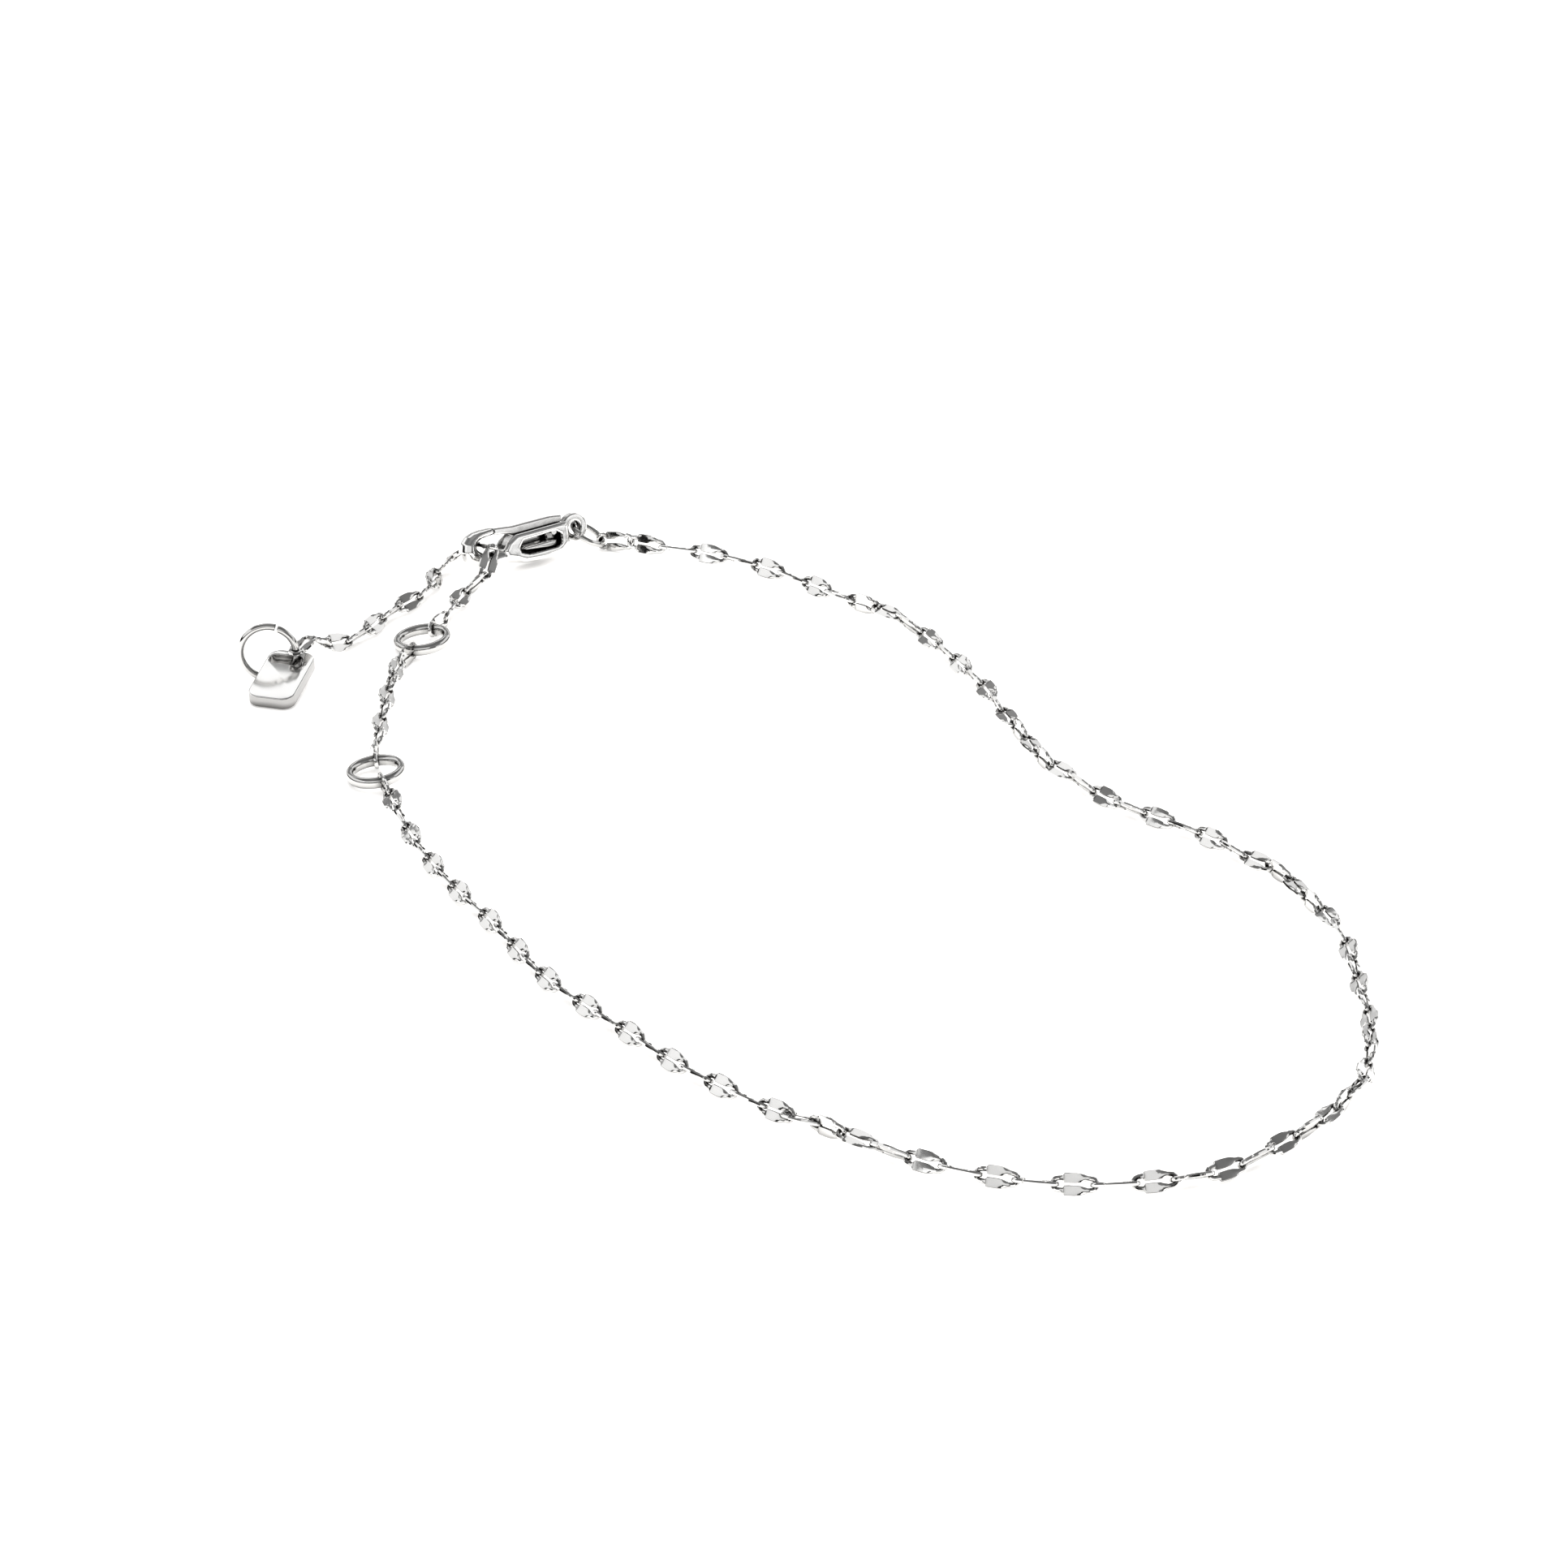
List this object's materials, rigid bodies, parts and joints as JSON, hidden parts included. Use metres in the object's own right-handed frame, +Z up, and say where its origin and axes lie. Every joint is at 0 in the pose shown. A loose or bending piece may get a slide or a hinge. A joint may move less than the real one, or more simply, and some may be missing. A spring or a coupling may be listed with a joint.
{
  "type": "anklet",
  "caption": "Polished silver anklet of mirror-link cable chain with a lobster clasp, size rings and a small rounded tag, lying fastened.",
  "frame": {"origin": "under the middle of the anklet's box, on the surface it lies on", "axes": "+Z up from the surface; the picture was taken from -Y, with +X to its right"},
  "size_m": [0.0891, 0.1155, 0.0048],
  "materials": {
    "silver_chain": "polished silver links with flat mirror faces",
    "silver_ring": "polished silver wire",
    "silver_clasp": "cast silver, tumbled bright",
    "silver_tag": "flat polished silver"
  },
  "bodies": {
    "anklet": {"main_chain_back": "silver_chain", "main_chain_front": "silver_chain", "size_chain": "silver_chain", "tail_chain": "silver_chain", "size_ring_1": "silver_ring", "size_ring_2": "silver_ring", "jump_ring": "silver_ring", "end_ring": "silver_ring", "clasp_body": "silver_clasp", "clasp_pin": "silver_clasp", "tag": "silver_tag"},
    "lever": {"clasp_lever": "silver_clasp"}
  },
  "joints": [
    {"name": "clasp_lever", "type": "hinge", "parent": "anklet", "child": "lever", "pos_m": [-0.02002, 0.05436, 0.0026], "axis": [0.554, -0.7912, 0.2588], "range_deg": [0, 10], "stiffness_Nm_per_rad": 0.002}
  ]
}
